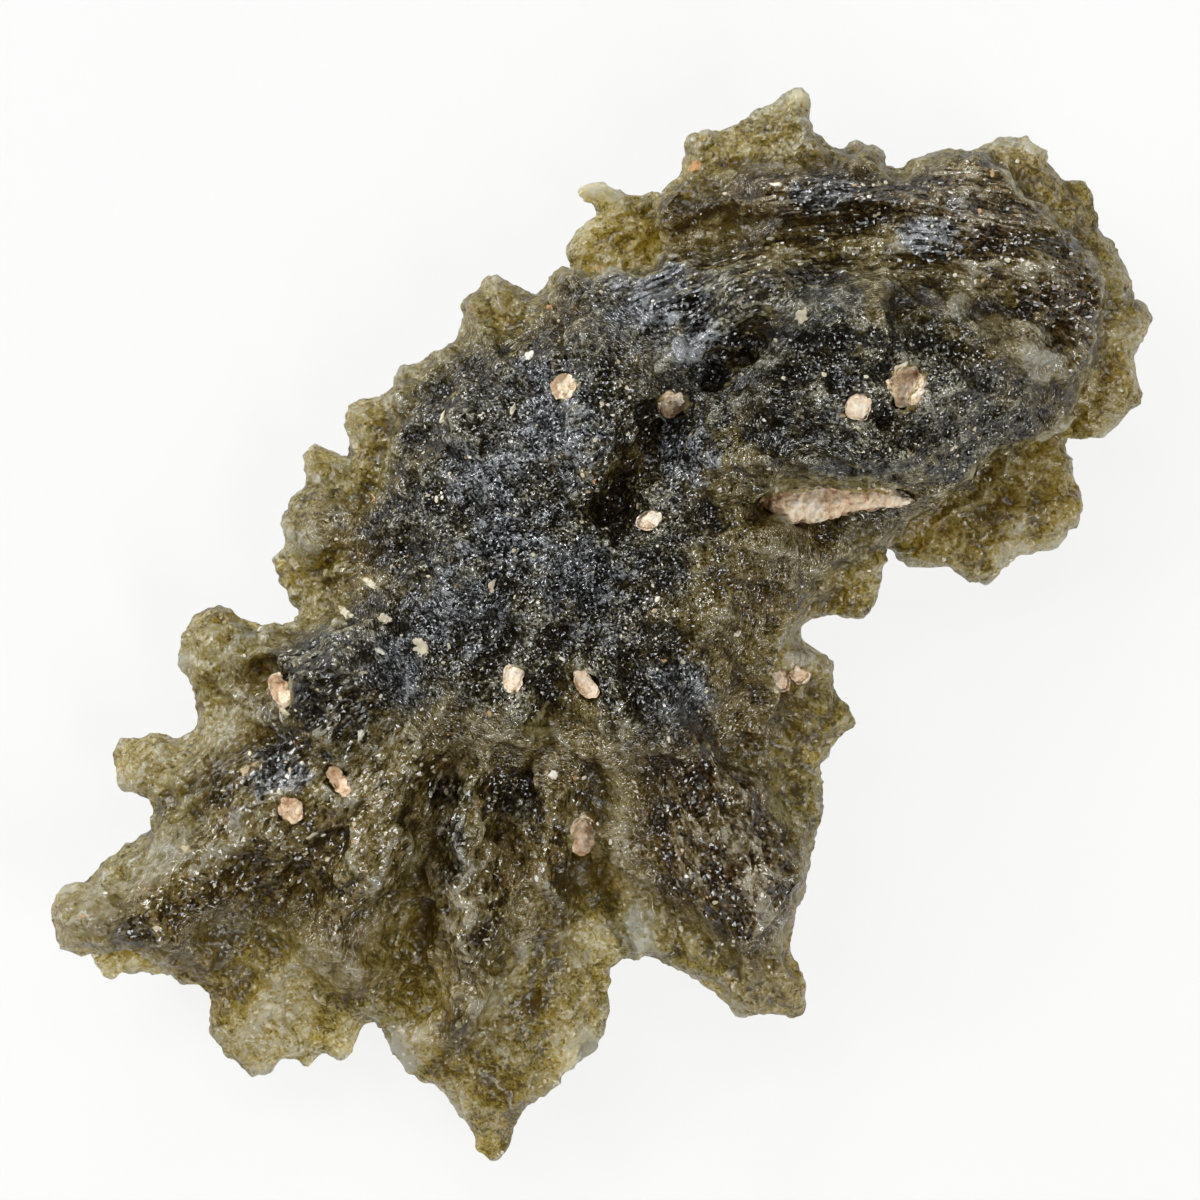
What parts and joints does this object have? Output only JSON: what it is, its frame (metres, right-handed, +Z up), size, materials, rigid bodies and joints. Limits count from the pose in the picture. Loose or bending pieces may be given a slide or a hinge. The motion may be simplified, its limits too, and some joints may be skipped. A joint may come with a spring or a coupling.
{
  "type": "moldavite",
  "caption": "Raw moldavite: a flat leaf-shaped piece of etched olive-green natural glass with lobed edges, flow grooves and pits that hold a little pink clay.",
  "frame": {"origin": "middle of the box round the part in X and Y, on the surface it lies on in Z", "axes": "+X along the stone's length, from the fanned end to the head; +Y across it; +Z up out of the richly grooved face"},
  "size_m": [0.0374, 0.0224, 0.0099],
  "materials": {
    "glass": "olive-green natural glass, etched and lightly frosted, see-through where thin",
    "clay": "dry pinkish-beige clay, matte"
  },
  "bodies": {
    "root": {"moldavite": "glass", "clay_plug_boss": "clay", "clay_plug_fan": "clay", "clay_plug_flank": "clay", "clay_plug_head": "clay", "clay_plug_head_small": "clay", "clay_plug_ledge": "clay", "clay_plug_middle_left": "clay", "clay_plug_middle_right": "clay", "clay_plug_ridge": "clay", "clay_plug_right_inner": "clay", "clay_plug_right_outer": "clay", "clay_plug_spur_lower": "clay", "clay_plug_spur_upper": "clay", "clay_seam": "clay"}
  },
  "joints": []
}
